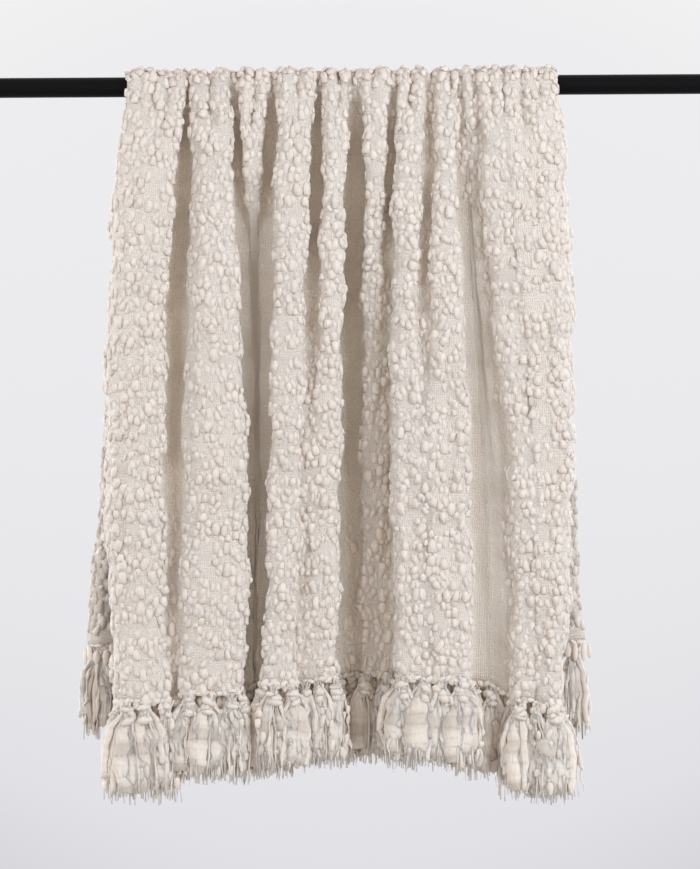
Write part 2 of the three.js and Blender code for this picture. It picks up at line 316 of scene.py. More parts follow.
def back_lie(share):
    """The same behind, where each gather widens and comes to stand as it does at the back hem"""
    spread, opened = share**SPREAD_POWER, share**STAND_POWER
    hang = min(share / FREE_SHARE, 1)

    def between(start, end, t):
        return start + (end - start) * t

    lie = Lie(
        [between(f.left[0], f.back[0], spread) for f in FOLDS],
        [between(f.right[0], f.back[1], spread) for f in FOLDS],
        [between(f.out[0], f.back[2], opened) for f in FOLDS],
        [between(f.dip[0], BACK_FLOOR, opened) for f in FOLDS],
        BACK_SIDE_STAND * opened,
    )
    run = BACK_WAVER_START + share * BACK_DROP
    return wavering(lie, run, [BACK_WAVER * hang] * len(FOLDS), CREST_WAVER * hang)


def signed_power(values, power):
    return np.sign(values) * np.abs(values) ** power


def arch(feet, peak, flank, tucks, steps):
    """Points of a rounded crest, or of a recess, between two feet; each of its flanks is steep or gentle, and
    a tuck draws a foot in under its edge. A side that is low runs out gently, level with its foot"""
    (from_x, from_out), (to_x, to_out) = feet
    s = np.linspace(0, 1, steps + 1)[:-1]
    t = (1 - np.cos(np.pi * s)) / 2
    blend = t * t * (3 - 2 * t)
    foot = from_out + (to_out - from_out) * blend
    tall = np.minimum(np.abs(peak - foot) / LOW_SIDE, 1)
    power = flank[0] + (flank[1] - flank[0]) * blend
    tuck = tucks[0] + (tucks[1] - tucks[0]) * t
    turn = np.cos(np.pi * t)
    steep = (1 - signed_power(turn, 0.4 + 0.6 * power)) / 2
    x = from_x + (to_x - from_x) * (steep * tall + t * (1 - tall))
    x = x - tuck * signed_power(turn * np.sin(np.pi * t), 0.5)
    return x, foot + (peak - foot) * np.sin(np.pi * t) ** (GENTLE + (power - GENTLE) * tall)


def feet_of(lie, i):
    """x and stand of the two feet of a fold, midway up its flanks, and how far each is tucked in"""
    last = len(FOLDS) - 1
    left_out = (lie.out[i] + lie.dip[i - 1]) / 2 if i else lie.side
    right_out = (lie.out[i] + lie.dip[i]) / 2 if i < last else lie.side
    tucks = []
    for foot_out, flank in zip((left_out, right_out), FOLDS[i].flank):
        relief = max(min((lie.out[i] - foot_out) / TALL_SIDE, 1), 0)
        tucks.append(relief * TUCK * max(GENTLE - flank, 0))
    left = lie.left[i] + FOOT_INSET + tucks[0] * 0.45
    right = lie.right[i] - FOOT_INSET - tucks[1] * 0.45
    return (left, left_out), (right, right_out), tucks


RECESS_FLANK = (0.6, 0.6)


def section(lie):
    """A level section of the cloth: x and stand of its fine points, from its left edge to its right one"""
    parts = []
    for i, fold in enumerate(FOLDS):
        left, right, tucks = feet_of(lie, i)
        parts.append(arch((left, right), lie.out[i], fold.flank, tucks, CREST_STEPS))
        if i < len(FOLDS) - 1:
            feet = (right, feet_of(lie, i + 1)[0])
            parts.append(arch(feet, lie.dip[i], RECESS_FLANK, (0, 0), RECESS_STEPS))
    parts.append(([right[0]], [right[1]]))
    return np.concatenate([p[0] for p in parts]), np.concatenate([p[1] for p in parts])


def pressed(lie, x, out, depth):
    """The stand again, with the creases that show at this depth pressed into it; depth is 0 over the rod"""
    names = [f.name for f in FOLDS]
    for crease in CREASES:
        i = names.index(crease.fold)
        from_rod = crease.start == 0
        fade = CREST_FADE if from_rod else CREASE_FADE
        before = 1 if from_rod else min(max((depth - crease.start) / fade, 0), 1)
        after = min(max((crease.end - depth) / fade, 0), 1)
        centre = lie.left[i] + crease.across * (lie.right[i] - lie.left[i]) + waver(crease.deep, depth, 1.2)
        shape = np.exp(-np.abs((x - centre) / crease.width) ** 2)
        out = out - crease.deep * before * after * shape * (out > lie.dip[i] - 1)
    return out


def fold_starts():
    """Numbers of the fine points at which the folds and recesses start, and of the last point"""
    starts = [0]
    for i in range(2 * len(FOLDS) - 1):
        starts.append(starts[-1] + (CREST_STEPS if i % 2 == 0 else RECESS_STEPS))
    return starts


HEMS = np.array([f.hem for f in FOLDS], float)
STARTS = fold_starts()
CREST_MIDDLES = [STARTS[i] + CREST_STEPS // 2 for i in range(0, len(STARTS) - 1, 2)]
HANG = ROD_RADIUS + OVER_ROD
OVER_RUN = math.pi * HANG
FULL_RUN = NOMINAL_DROP + OVER_RUN + BACK_DROP


def fine_row(run):
    """Fine points across the cloth at a run from the front hem, over the rod, to the back hem"""
    if run <= NOMINAL_DROP:
        depth = NOMINAL_DROP - run
        lie = front_lie(depth)
        x, out = section(lie)
        out = pressed(lie, x, out, depth)
        down = depth * np.interp(np.arange(len(x)), CREST_MIDDLES, HEMS) / NOMINAL_DROP
        return np.stack([x - LEAN * down, -HANG - out, -down], axis=1)
    if run <= NOMINAL_DROP + OVER_RUN:
        angle = (run - NOMINAL_DROP) / HANG
        lie = rod_lie(angle)
        x, out = section(lie)
        out = np.maximum(pressed(lie, x, out, 0), 0)
        return np.stack([x, -(HANG + out) * math.cos(angle), (HANG + out) * math.sin(angle)], axis=1)
    share = (run - NOMINAL_DROP - OVER_RUN) / BACK_DROP
    lie = back_lie(share)
    x, out = section(lie)
    out = pressed(lie, x, out, share * BACK_DROP)
    down = share * (BACK_DROP + 5 * np.sin(x / 90))
    return np.stack([x - LEAN * down, HANG + out, -down], axis=1)


Surface = namedtuple("Surface", "points normals ups")


@functools.lru_cache
def cloth_surface():
    """Fine rows of the whole cloth, with the unit vectors out of it and along its run"""
    rows = int(FULL_RUN / FINE_RUN) + 1
    points = np.stack([fine_row(run) for run in np.linspace(0, FULL_RUN, rows)])
    columns = np.arange(points.shape[1])
    ahead = np.minimum(columns + WIDE_STEP, columns[-1])
    behind = np.maximum(columns - WIDE_STEP, 0)
    across = points[:, ahead] - points[:, behind]
    ups = np.gradient(points, axis=0)
    normals = np.cross(across, ups)
    return Surface(points, unit(normals), unit(ups))


def unit(vectors):
    return vectors / np.maximum(np.linalg.norm(vectors, axis=-1, keepdims=True), 1e-9)


def run_lengths(points):
    """Distance of each point of a line from its start"""
    steps = np.linalg.norm(np.diff(points, axis=0), axis=1)
    return np.concatenate([[0], np.cumsum(steps)])


def between_points(values, lengths, places):
    """Values of a line's points at some distances along it"""
    return np.stack([np.interp(places, lengths, values[:, k]) for k in range(3)], axis=1)


def ways_along(line, lengths, marks):
    """The way that a line runs at some distances along it"""
    return between_points(line, lengths, marks + 2) - between_points(line, lengths, marks - 2)


# ---------------------------------------------------------------------------------------------------------
# Shaders


class Value:
    """A shader socket on which maths can be written as an expression, each step adding its Math node"""

    def __init__(self, finish, socket):
        self.finish = finish
        self.socket = socket

    def maths(self, operation, first, second):
        return self.finish.node("ShaderNodeMath", {"operation": operation}, {0: first, 1: second})

    def __add__(self, other):
        return self.maths("ADD", self, other)

    def __radd__(self, other):
        return self.maths("ADD", other, self)

    def __sub__(self, other):
        return self.maths("SUBTRACT", self, other)

    def __rsub__(self, other):
        return self.maths("SUBTRACT", other, self)

    def __mul__(self, other):
        return self.maths("MULTIPLY", self, other)

    def __rmul__(self, other):
        return self.maths("MULTIPLY", other, self)

    def __pow__(self, other):
        return self.maths("POWER", self, other)

    def least(self, other):
        return self.maths("MINIMUM", self, other)

    def most(self, other):
        return self.maths("MAXIMUM", self, other)

    def clamped(self):
        """The value kept from 0 to 1"""
        return self.least(1.0).most(0.0)

    def sine(self):
        return self.maths("SINE", self, 0.0)

    def other(self, name):
        """Another output of the node that this value comes from"""
        return Value(self.finish, self.socket.node.outputs[name])


class Finish:
    """The node tree of a material or of the world"""

    def __init__(self, owner):
        owner.use_nodes = True
        self.owner = owner
        self.tree = owner.node_tree
        self.tree.nodes.clear()

    def node(self, kind, settings=None, inputs=None, output=0):
        """Adds a node, sets it up, fills its sockets with values or links, and gives one of its outputs, if
        it has any"""
        made = self.tree.nodes.new(kind)
        for key, value in (settings or {}).items():
            if key == "stops":
                self.set_stops(made.color_ramp.elements, value)
            else:
                setattr(made, key, value)
        for key, value in (inputs or {}).items():
            if isinstance(value, Value):
                self.tree.links.new(value.socket, made.inputs[key])
            else:
                made.inputs[key].default_value = value
        return Value(self, made.outputs[output]) if made.outputs else None

    def set_stops(self, elements, stops):
        while len(elements) < len(stops):
            elements.new(1.0)
        for element, (place, shade) in zip(elements, stops):
            element.position = place
            element.color = (*shade, 1.0)

    def place(self):
        """Coordinates on the object, in metres"""
        return self.node("ShaderNodeTexCoord", output="Object")

    def axes(self, vector):
        """The three numbers of a vector"""
        x = self.node("ShaderNodeSeparateXYZ", {}, {0: vector})
        return x, x.other(1), x.other(2)

    def scaled(self, vector, scale):
        return self.node("ShaderNodeMapping", {"vector_type": "POINT"}, {"Vector": vector, "Scale": scale})

    def cloud(self, vector, scale, detail=2.0, roughness=0.5):
        """Smooth noise from 0 to 1"""
        inputs = {"Vector": vector, "Scale": scale, "Detail": detail, "Roughness": roughness}
        return self.node("ShaderNodeTexNoise", {}, inputs)

    def mixed(self, share, first, second):
        """A colour between two"""
        first = first if isinstance(first, Value) else (*first, 1.0)
        second = second if isinstance(second, Value) else (*second, 1.0)
        return self.node("ShaderNodeMix", {"data_type": "RGBA"}, {0: share, 6: first, 7: second}, output=2)

    def bump(self, height, distance, strength=1.0):
        return self.node("ShaderNodeBump", {}, {"Height": height, "Distance": distance, "Strength": strength})

    def end(self, shader, kind="ShaderNodeOutputMaterial"):
        self.node(kind, {}, {"Surface": shader})
        return self.owner


def shaded(shade, share):
    """A colour made darker and a little warmer"""
    return tuple(c * share ** (1 + 0.12 * k) for k, c in enumerate(shade))


def wool(finish, base, height, relief, glow=0.3, glow_depth=0.0035):
    """The soft skin that the slubs, the ground and the fringe share; glow is how much light goes through"""
    shader = finish.node(
        "ShaderNodeBsdfPrincipled",
        {},
        {
            "Base Color": base,
            "Roughness": 0.95,
            "Specular IOR Level": 0.2,
            "Subsurface Weight": glow,
            "Subsurface Radius": (1.0, 1.0, 1.0),
            "Subsurface Scale": glow_depth,
            "Sheen Weight": 0.12,
            "Sheen Roughness": 0.5,
            "Normal": finish.bump(height, relief, 1.0),
        },
    )
    return finish.end(shader)


# depth: how strongly the painted shade between the fibres darkens the wool
def slub_wool(shade, name="slub_wool", stretch=0.25, relief=0.0018, depth=0.45, **glow):
    """Loose soft roving: its tone varies from slub to slub, with painted shade in the grooves between the
    fine fibres that run down it; where its attribute is under nought, at a slub's root, it is painted darker
    and warmer as shade"""
    finish = Finish(bpy.data.materials.new(name))
    place = finish.place()
    tint = finish.node("ShaderNodeAttribute", {"attribute_name": "tint"}, output="Fac")
    fibres = finish.cloud(finish.scaled(place, (1.0, 1.0, stretch)), 560.0, 3.0, 0.7)
    strands = finish.cloud(finish.scaled(place, (1.0, 1.0, stretch)), 200.0, 2.0, 0.5)
    patches = finish.cloud(place, 11.0, 2.0)
    # painted shade: darker in the grooves between the fibres, where the bump sinks
    fibre_shade = (fibres * 2.6 - 0.8).clamped()
    base = finish.mixed(tint, shaded(shade, 0.93), shaded(shade, 1.05))
    # painted shade: darker and warmer where the attribute is under nought, at the slubs' roots
    base = finish.mixed((0.0 - tint).clamped(), base, shaded(shade, 0.62))
    base = finish.mixed(fibre_shade * depth, base, shaded(shade, 0.76))
    base = finish.mixed(patches * 0.35, base, shaded(shade, 0.92))
    return wool(finish, base, strands * 0.6 - fibres * 0.8, relief, **glow)


WARP_PITCH = 0.0026    # distance between neighbouring yarns of the ground weave, in metres
WEFT_PITCH = 0.0033


def ground_weave(shade):
    """Plain weave of thin yarns, on the flat cloth's own coordinates, with painted shade between the yarns"""
    finish = Finish(bpy.data.materials.new("ground_weave"))
    flat = finish.node("ShaderNodeUVMap", {"uv_map": "flat_cloth"})
    wobble = finish.cloud(flat, 190.0, 3.0)
    across, along, _ = finish.axes(flat)
    warp = (across * (2 * math.pi / WARP_PITCH) + wobble * 9.0).sine() * 0.5 + 0.5
    weft = (along * (2 * math.pi / WEFT_PITCH) + wobble * 12.0).sine() * 0.5 + 0.5
    fluff = finish.cloud(flat, 420.0, 3.0, 0.7)
    height = warp * 0.5 + weft * 0.35 + fluff * 0.8
    # painted shade: darker between the yarns, where the weave dips
    base = finish.mixed(warp * 0.6 + weft * 0.4, shaded(shade, 0.76), shaded(shade, 1.06))
    base = finish.mixed((fluff * 2.6 - 0.8).clamped() * 0.5, shaded(shade, 1.05), base)
    return wool(finish, base, height, 0.0016)


def rod_paint(shade):
    """Satin black paint with a faint orange peel"""
    finish = Finish(bpy.data.materials.new("rod_paint"))
    place = finish.place()
    peel = finish.cloud(place, 900.0, 2.0)
    wear = finish.cloud(finish.scaled(place, (0.15, 1.0, 1.0)), 60.0, 3.0)
    shader = finish.node(
        "ShaderNodeBsdfPrincipled",
        {},
        {
            "Base Color": finish.mixed(wear, shade, shaded(shade, 1.5)),
            "Roughness": wear * 0.14 + 0.30,
            "Specular IOR Level": 0.07,
            "Normal": finish.bump(peel, 0.00006, 0.5),
        },
    )
    return finish.end(shader)


# ---------------------------------------------------------------------------------------------------------
# Meshes of many small pieces


class Pattern:
    """A small bmesh shape as arrays, ready to be repeated: its points and its faces' corners"""

    def __init__(self, bm):
        bmesh.ops.recalc_face_normals(bm, faces=bm.faces)
        faces = [[v.index for v in f.verts] for f in bm.faces]
        # The order of an operator's faces changes from run to run, so they are sorted, lowest corner first
        faces = sorted(f[f.index(min(f)):] + f[: f.index(min(f))] for f in faces)
        self.points = np.array([v.co for v in bm.verts], float)
        self.corners = np.concatenate(faces)
        self.counts = np.array([len(f) for f in faces], int)
        bm.free()


def ball_pattern(around, rings):
    """A ball of radius 1 with its poles on Z"""
    bm = bmesh.new()
    bmesh.ops.create_uvsphere(bm, u_segments=around, v_segments=rings, radius=1.0)
    bm.verts.index_update()
    return Pattern(bm)


@functools.lru_cache
def tube_pattern(sides, stations):
    """A closed tube of radius 1, with a ring of points at each whole height from 0 on"""
    bm = bmesh.new()
    bmesh.ops.create_circle(bm, segments=sides, radius=1.0, cap_ends=True)
    top = bm.faces[:]
    for station in range(1, stations):
        made = bmesh.ops.extrude_face_region(bm, geom=top, use_keep_orig=station == 1)["geom"]
        verts = [g for g in made if isinstance(g, bmesh.types.BMVert)]
        top = [g for g in made if isinstance(g, bmesh.types.BMFace)]
        bmesh.ops.translate(bm, vec=(0, 0, 1), verts=verts)
    bm.verts.index_update()
    return Pattern(bm)


class Heap:
    """Collects repeated patterns and joins them as one mesh; points are in millimetres"""

    def __init__(self):
        self.parts = []
        self.total = 0

    def add(self, pattern, points, tints):
        """points holds the pattern's points once for each copy, and tints a number for each copy or point"""
        copies, size, _ = points.shape
        offsets = self.total + size * np.arange(copies)
        corners = (pattern.corners[None, :] + offsets[:, None]).ravel()
        tints = np.repeat(tints, size) if tints.ndim == 1 else tints.ravel()
        self.parts.append((points.reshape(-1, 3), corners, np.tile(pattern.counts, copies), tints))
        self.total += copies * size

    def piece(self, name, material):
        points, corners, counts, tints = (np.concatenate(column) for column in zip(*self.parts))
        mesh = bpy.data.meshes.new(name)
        mesh.vertices.add(self.total)
        mesh.loops.add(len(corners))
        mesh.polygons.add(len(counts))
        mesh.vertices.foreach_set("co", (points * MM).astype(np.float32).ravel())
        mesh.loops.foreach_set("vertex_index", corners.astype(np.int32))
        mesh.polygons.foreach_set("loop_start", (np.cumsum(counts) - counts).astype(np.int32))
        tint = mesh.attributes.new("tint", "FLOAT", "POINT")
        tint.data.foreach_set("value", tints.astype(np.float32))
        mesh.update()
        mesh.validate()
        mesh.shade_smooth()
        mesh.materials.append(material)
        return link(bpy.data.objects.new(name, mesh))


def link(piece):
    bpy.context.scene.collection.objects.link(piece)
    return piece


def placed(pattern, places, sides, normals, ups, sizes):
    """The pattern's points for each place, turned to three unit vectors and scaled along them"""
    local = pattern.points[None, :, :] * sizes[:, None, :]
    axes = np.stack([sides, normals, ups], axis=1)
    return places[:, None, :] + np.einsum("kpi,kij->kpj", local, axes)


def swept(pattern, paths, radii, deep=1.0):
    """The tube pattern's points for each path, in level rings that are deep times as deep as wide"""
    station = np.round(pattern.points[:, 2]).astype(int)
    ring = np.zeros_like(pattern.points)
    ring[:, :2] = pattern.points[:, :2] * (1.0, deep)
    return paths[:, station, :] + ring[None, :, :] * radii[:, station, None]


# ---------------------------------------------------------------------------------------------------------
# The throw's pieces


# The meshes that the slubs are shared out to: the half of the throw, and from and to which x they lie
SLUB_PIECES = (
    ("slubs_front_left", "front", -400, -60),
    ("slubs_front_middle", "front", -60, 120),
    ("slubs_front_right", "front", 120, 400),
    ("slubs_back_left", "back", -400, 0),
    ("slubs_back_right", "back", 0, 400),
)
FLAT_FOLDS = ("third, sinking back", "ninth, set back")
HEM_MARGIN = 3.0       # from a hem to the outermost row of slubs
SLUB_STRAY_ACROSS, SLUB_STRAY_ALONG = 0.22, 0.30    # as shares of their spacing
MISSING_SLUBS = 0.03   # share of the slubs that are left out here and there
SLUB_LEAN = 0.20       # how far slubs lean from upright, in radians
SLUB_LUMPS = 0.38      # unevenness of a slub's skin
UNDERSIDE = 0.7        # height on a slub, from -1 to 1, below which its colour is painted darker and warmer, as shade at its root
SLUB_SWELLS = (-0.28, 0.0, 0.28)
LOST_IN_WEAVE = 0.8    # a slub that lies flatter than this doesn't show
INSIDE_SHOWN = (-258, 262)    # beyond these the back half shows its inner face past the front one
PRESSED_FROM = 14.0    # depth below a crest at which slubs start to lie flat, and how soon they do fully
PRESSED_OVER = 14.0
SET_BACK_FROM = 110.0  # the same on the folds that are set back, as a depth below the rod
SET_BACK_OVER = 60.0
PATCH_WIDTH, PATCH_LENGTH = 10.0, 15.0    # size of the patches without slubs


def lies_flat(fold, place, crest, outer):
    """How flat the slubs at some places of a fold lie, from 0 to 1: pressed together deep in the recesses in
    front, and on the folds that are set back, but not along the outer edge of a side fold"""
    below = np.abs(crest[1]) - np.abs(place[:, 1])
    deep = np.clip((below - PRESSED_FROM) / PRESSED_OVER, 0, 1) * ~outer
    if fold.name in FLAT_FOLDS:
        deep = np.maximum(deep, np.clip((-SET_BACK_FROM - place[:, 2]) / SET_BACK_OVER, 0, 1))
    return deep * (place[:, 1] < 0)


def slub_places(sizes, rng):
    """Places, unit vectors out and along, of all the slubs, in columns that follow each fold and are a little
    uneven; and how flat each one lies"""
    surface = cloth_surface()
    bounds = [0] + [(STARTS[i] + STARTS[i + 1]) // 2 for i in range(1, len(STARTS) - 2, 2)] + [STARTS[-1]]
    pitch, along = sizes.across / MM, sizes.along / MM
    rows = int((FULL_RUN - 2 * HEM_MARGIN) / along)
    found = []
    for row in range(rows):
        j = int((HEM_MARGIN + row * along) / FULL_RUN * (len(surface.points) - 1))
        line = surface.points[j]
        lengths = run_lengths(line)
        for fold, middle in enumerate(CREST_MIDDLES):
            start, end = lengths[bounds[fold]], lengths[bounds[fold + 1]]
            shift = pitch / 2 * (row % 2)
            first = math.ceil((start - lengths[middle] - shift) / pitch)
            last = math.floor((end - lengths[middle] - shift) / pitch)
            marks = lengths[middle] + shift + pitch * np.arange(first, last + 1)
            marks = marks + rng.normal(0, SLUB_STRAY_ACROSS * pitch, len(marks))
            place = between_points(line, lengths, marks)
            up = unit(between_points(surface.ups[j], lengths, marks))
            normal = unit(between_points(surface.normals[j], lengths, marks))
            place = place + up * rng.normal(0, SLUB_STRAY_ALONG * along, len(marks))[:, None]
            side = np.sign(marks - lengths[middle])
            outer = (side < 0) & (fold == 0) | (side > 0) & (fold == len(FOLDS) - 1)
            flat = lies_flat(FOLDS[fold], place, line[middle], outer)
            found.append(np.concatenate([place, normal, up, flat[:, None]], axis=1))
    found = np.concatenate(found)
    return found[:, 0:3], found[:, 3:6], found[:, 6:9], found[:, 9]


def patchiness(place):
    """Slow noise over the cloth, from about -1 to 1"""
    return noise.noise(Vector((place[0] / PATCH_WIDTH, place[1] / PATCH_WIDTH, place[2] / PATCH_LENGTH)))


@functools.lru_cache
def slub_pattern(swelling):
    """A short blunt puff of loose wool, thicker towards one end"""
    pattern = ball_pattern(6, 4)
    height = pattern.points[:, 2]
    body = (1 + 0.16 * (1 - (2 * height**2 - 1) ** 2)) * (1 + swelling * height)
    pattern.points[:, 0] *= body
    pattern.points[:, 1] *= body
    return pattern


def make_slubs(settings):
    """The slubs of the whole throw: proud ones on its folds, and flat ones towards the recesses"""
    sizes, rng = settings.slubs, np.random.default_rng(7)
    places, normals, ups, flat = slub_places(sizes, rng)
    patch = np.array([patchiness(p) for p in places])
    limit = np.quantile(patch, 1 - sizes.bare)
    swell = np.clip((limit - patch) / 0.25, 0, 1)
    keep = (swell > 0) & (flat < LOST_IN_WEAVE) & (rng.random(len(places)) > MISSING_SLUBS)
    places, normals, ups, flat, swell = (a[keep] for a in (places, normals, ups, flat, swell))
    shows_inside = (places[:, 1] > 0) & ((places[:, 0] < INSIDE_SHOWN[0]) | (places[:, 0] > INSIDE_SHOWN[1]))
    places, ups, flat, swell = (np.concatenate([a, a[shows_inside]]) for a in (places, ups, flat, swell))
    normals = np.concatenate([normals, -normals[shows_inside]])
    count = len(places)
    lean = rng.normal(0, SLUB_LEAN, count)[:, None]
    sides = unit(np.cross(normals, ups))
    ups = unit(ups * np.cos(lean) + sides * np.sin(lean))
    sides = unit(np.cross(normals, ups))
    girth = rng.uniform(0.72, 1.24, count) * (0.8 + 0.2 * swell)
    proud = rng.random(count) ** 1.5 * (1 - flat)
    scale = np.stack([
        sizes.width / MM / 2 * girth * rng.uniform(0.9, 1.1, count),
        sizes.height / MM / 2 * (0.82 + 0.45 * proud) * girth**0.5 * (1 - 0.2 * flat),
        sizes.length / MM / 2 * girth * rng.uniform(0.8, 1.25, count),
    ], axis=1)
    places = places + normals * (1.9 * proud - 0.9 - 0.1 * flat)[:, None]
    tints = rng.random(count)
    kinds = rng.integers(0, len(SLUB_SWELLS), count)
    behind = places[:, 1] > 0
    material = slub_wool(tuple(settings.colours.slub))
    for name, side, low, high in SLUB_PIECES:
        here = (behind == (side == "back")) & (places[:, 0] >= low) & (places[:, 0] < high)
        heap = Heap()
        for kind, swelling in enumerate(SLUB_SWELLS):
            pattern = slub_pattern(swelling)
            chosen = here & (kinds == kind)
            points = placed(pattern, *(a[chosen] for a in (places, sides, normals, ups, scale)))
            points = points + rng.normal(0, SLUB_LUMPS, points.shape)
            # painted shade at each slub's root, below UNDERSIDE, made darker and warmer in the shader
            root_shade = np.clip(UNDERSIDE - pattern.points[:, 1], 0, 1)
            heap.add(pattern, points, tints[chosen][:, None] * (1 - root_shade) - root_shade)
        piece = heap.piece(name, material)
        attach(piece, "root")


def make_cloth(settings):
    """The ground cloth: a grid laid on the hanging surface, with its flat size as coordinates"""
    sizes = settings.cloth
    surface = cloth_surface()
    counts = [sizes.crest_columns if i % 2 == 0 else sizes.recess_columns for i in range(len(STARTS) - 1)]
    columns = sum(counts)
    bm = bmesh.new()
    bmesh.ops.create_grid(bm, x_segments=columns, y_segments=sizes.rows, size=1.0)
    rows, shares = [], 0
    for j in np.linspace(0, len(surface.points) - 1, sizes.rows + 1).round().astype(int):
        line = surface.points[j]
        lengths = run_lengths(line)
        ends = lengths[STARTS]
        marks = [np.linspace(a, b, n, endpoint=False) for a, b, n in zip(ends[:-1], ends[1:], counts)]
        marks = np.concatenate([*marks, ends[-1:]])
        rows.append(between_points(line, lengths, marks))
        shares = shares + marks / lengths[-1] / (sizes.rows + 1)
    flat = bm.loops.layers.uv.new("flat_cloth")
    for vert in bm.verts:
        i = round((vert.co.x + 1) / 2 * columns)
        j = round((vert.co.y + 1) / 2 * sizes.rows)
        for loop in vert.link_loops:
            loop[flat].uv = (shares[i] * sizes.width, j / sizes.rows * sizes.length)
        vert.co = rows[j][i] * MM
    mesh = bpy.data.meshes.new("cloth")
    bm.to_mesh(mesh)
    bm.free()
    mesh.shade_smooth()
    mesh.materials.append(ground_weave(tuple(settings.colours.ground)))
    cloth = link(bpy.data.objects.new("cloth", mesh))
    thick = cloth.modifiers.new("thickness", "SOLIDIFY")
    thick.thickness = sizes.thickness
    thick.offset = 0.0
    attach(cloth, "root")
    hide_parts("blanket")
    return cloth


UP = np.array([0, 0, 1.0])
SETTLE = 7.0           # how far the foot of a tassel hangs in from its hem
END_INSET = 26.0       # from the side edge of the cloth to the middle of the outermost tassel
LOOP_PITCH = 8.0       # distance between the loops of yarn along an edge
KNOT_WRAPS = 4         # turns of yarn that a knot shows, and the distance between them
WRAP_PITCH = 4.6
STRAY_FIBRES = 18      # single fibres at the foot of each tassel
# Stations of a tassel's plain yarns and of its thick and thin ones, as shares of its length
YARN_STATIONS = np.array([0.0, 0.07, 0.13, 0.22, 0.38, 0.58, 0.78, 1.0])
SLUBBED_STATIONS = np.linspace(0, 1, 17)
# Stations of its locks, and their half widths
LOCK_STATIONS = np.array([0.10, 0.16, 0.24, 0.34, 0.46, 0.58, 0.70, 0.82, 0.92, 1.0])
LOCK_WIDTHS = np.array([2.0, 2.7, 3.5, 4.1, 4.3, 4.4, 4.4, 4.2, 3.6, 2.4])
# Half widths, at the same stations, of the two broad cores that fill a tassel behind its locks
CORE_WIDTHS = np.array([2.8, 4.2, 8.2, 11.4, 12.8, 13.4, 13.4, 12.6, 11.0, 7.6])

# A tassel: its place on the hem, the way along the hem there, the way across the tassel, which faces more to
# the front than the hem does, and the way out of it on the face of the cloth; its length, how full it is
# beside a middling one, how far it is from the next one, and the sizes that all of them share
Tassel = namedtuple("Tassel", "place ahead side out long full pitch sizes")


def tassel_roots(line, tassels, face):
    """Place, ahead, side and out of each tassel along a hem, and the distance between them"""
    lengths = run_lengths(line)
    marks, pitch = np.linspace(END_INSET, lengths[-1] - END_INSET, tassels, retstep=True)
    places = between_points(line, lengths, marks)
    ahead = unit(ways_along(line, lengths, marks) * (1, 1, 0))
    sides = unit(ahead * (1, 0.5, 0) + (0.9, 0, 0))
    outs = np.cross(sides, UP) * face
    return zip(places, ahead, sides, outs), pitch


def tassel_paths(tassel, lay, share, lengths, rng, wider=1.0):
    """Paths of a tassel's yarns, each with its lay across and through the tassel from -1 to 1: from the hem
    in through the knot and down to its loose foot, with a point at each share of the length"""
    lay_x, lay_y = lay
    sizes, full = tassel.sizes, tassel.full * wider
    count, stations = len(lay_x), len(share)
    knot = sizes.knot / MM / 2 * full**0.5
    foot_x = lay_x * sizes.spread / MM / 2 * rng.uniform(0.85, 1.15, count) * full
    foot_y = lay_y * sizes.spread / MM / 6 * rng.uniform(0.8, 1.2, count) * full
    opened = np.interp(share, [0, 0.18, 0.31, 0.55, 1], [0, 0.04, 0.72, 0.96, 1.0])
    closing = np.interp(share, [0, 0.10, 1], [1, 0, 0])
    bind = np.interp(share, [0, 0.10, 0.18, 0.31, 1], [0.0, 1.0, 1.0, 0.25, 0.0])
    hem_x = (lay_x * tassel.pitch * 0.46)[:, None] * closing
    x = (lay_x * knot * 0.55)[:, None] * bind
    y = lay_y[:, None] * (1.5 + knot * 0.4 * bind) * (1 - opened)
    sway = np.cumsum(rng.normal(0, 0.9, (count, stations)), axis=1)
    sway = (sway + rng.normal(0, 1.0, (count, stations))) * opened
    sway_y = np.cumsum(rng.uniform(-0.6, 0.6, (count, stations)), axis=1) * opened
    x = x + foot_x[:, None] * opened + sway
    y = y + foot_y[:, None] * opened + sway_y - SETTLE * opened
    z = -share[None, :] * lengths[:, None]
    across = hem_x[..., None] * tassel.ahead + x[..., None] * tassel.side
    return tassel.place + across + y[..., None] * tassel.out + z[..., None] * UP


def random_lay(count, rng):
    """Places by chance over a round bundle of yarns"""
    angle = rng.uniform(0, 2 * math.pi, count)
    reach = np.sqrt(rng.uniform(0.05, 1, count))
    return reach * np.cos(angle), reach * np.sin(angle)


def random_sizes(count, rng, *ranges):
    """Sizes by chance along three axes, each in its own range"""
    return np.stack([rng.uniform(low, high, count) for low, high in ranges], axis=1)


def add_cores(heap, tassel, rng):
    """The two broad cores that fill a tassel"""
    lay = np.array([-0.35, 0.35]), np.array([0.30, 0.10])
    lengths = tassel.long * rng.uniform(0.86, 0.95, 2)
    paths = tassel_paths(tassel, lay, LOCK_STATIONS, lengths, rng)
    radii = CORE_WIDTHS * rng.uniform(0.9, 1.1, (2, len(CORE_WIDTHS))) * tassel.full
    tube = tube_pattern(6, len(LOCK_STATIONS))
    points = swept(tube, paths, radii, 0.42)
    heap.add(tube, points + rng.normal(0, 1.1, points.shape), rng.uniform(0.4, 0.8, 2))


def add_locks(heap, tassel, rng):
    """Thick soft locks, side by side in front of the cores"""
    count = tassel.sizes.locks
    lay = np.linspace(-0.9, 0.9, count) + rng.normal(0, 0.12, count), rng.uniform(-0.7, 0.7, count)
    lengths = tassel.long * rng.uniform(0.62, 1.0, count)
    paths = tassel_paths(tassel, lay, LOCK_STATIONS, lengths, rng)
    radii = LOCK_WIDTHS * rng.uniform(0.75, 1.2, (count, 1))
    radii = radii * rng.uniform(0.72, 1.28, (count, len(LOCK_WIDTHS)))
    tube = tube_pattern(5, len(LOCK_STATIONS))
    points = swept(tube, paths, radii * tassel.full**0.5, 0.56)
    heap.add(tube, points + rng.normal(0, 0.35, points.shape), rng.uniform(0, 1, count))


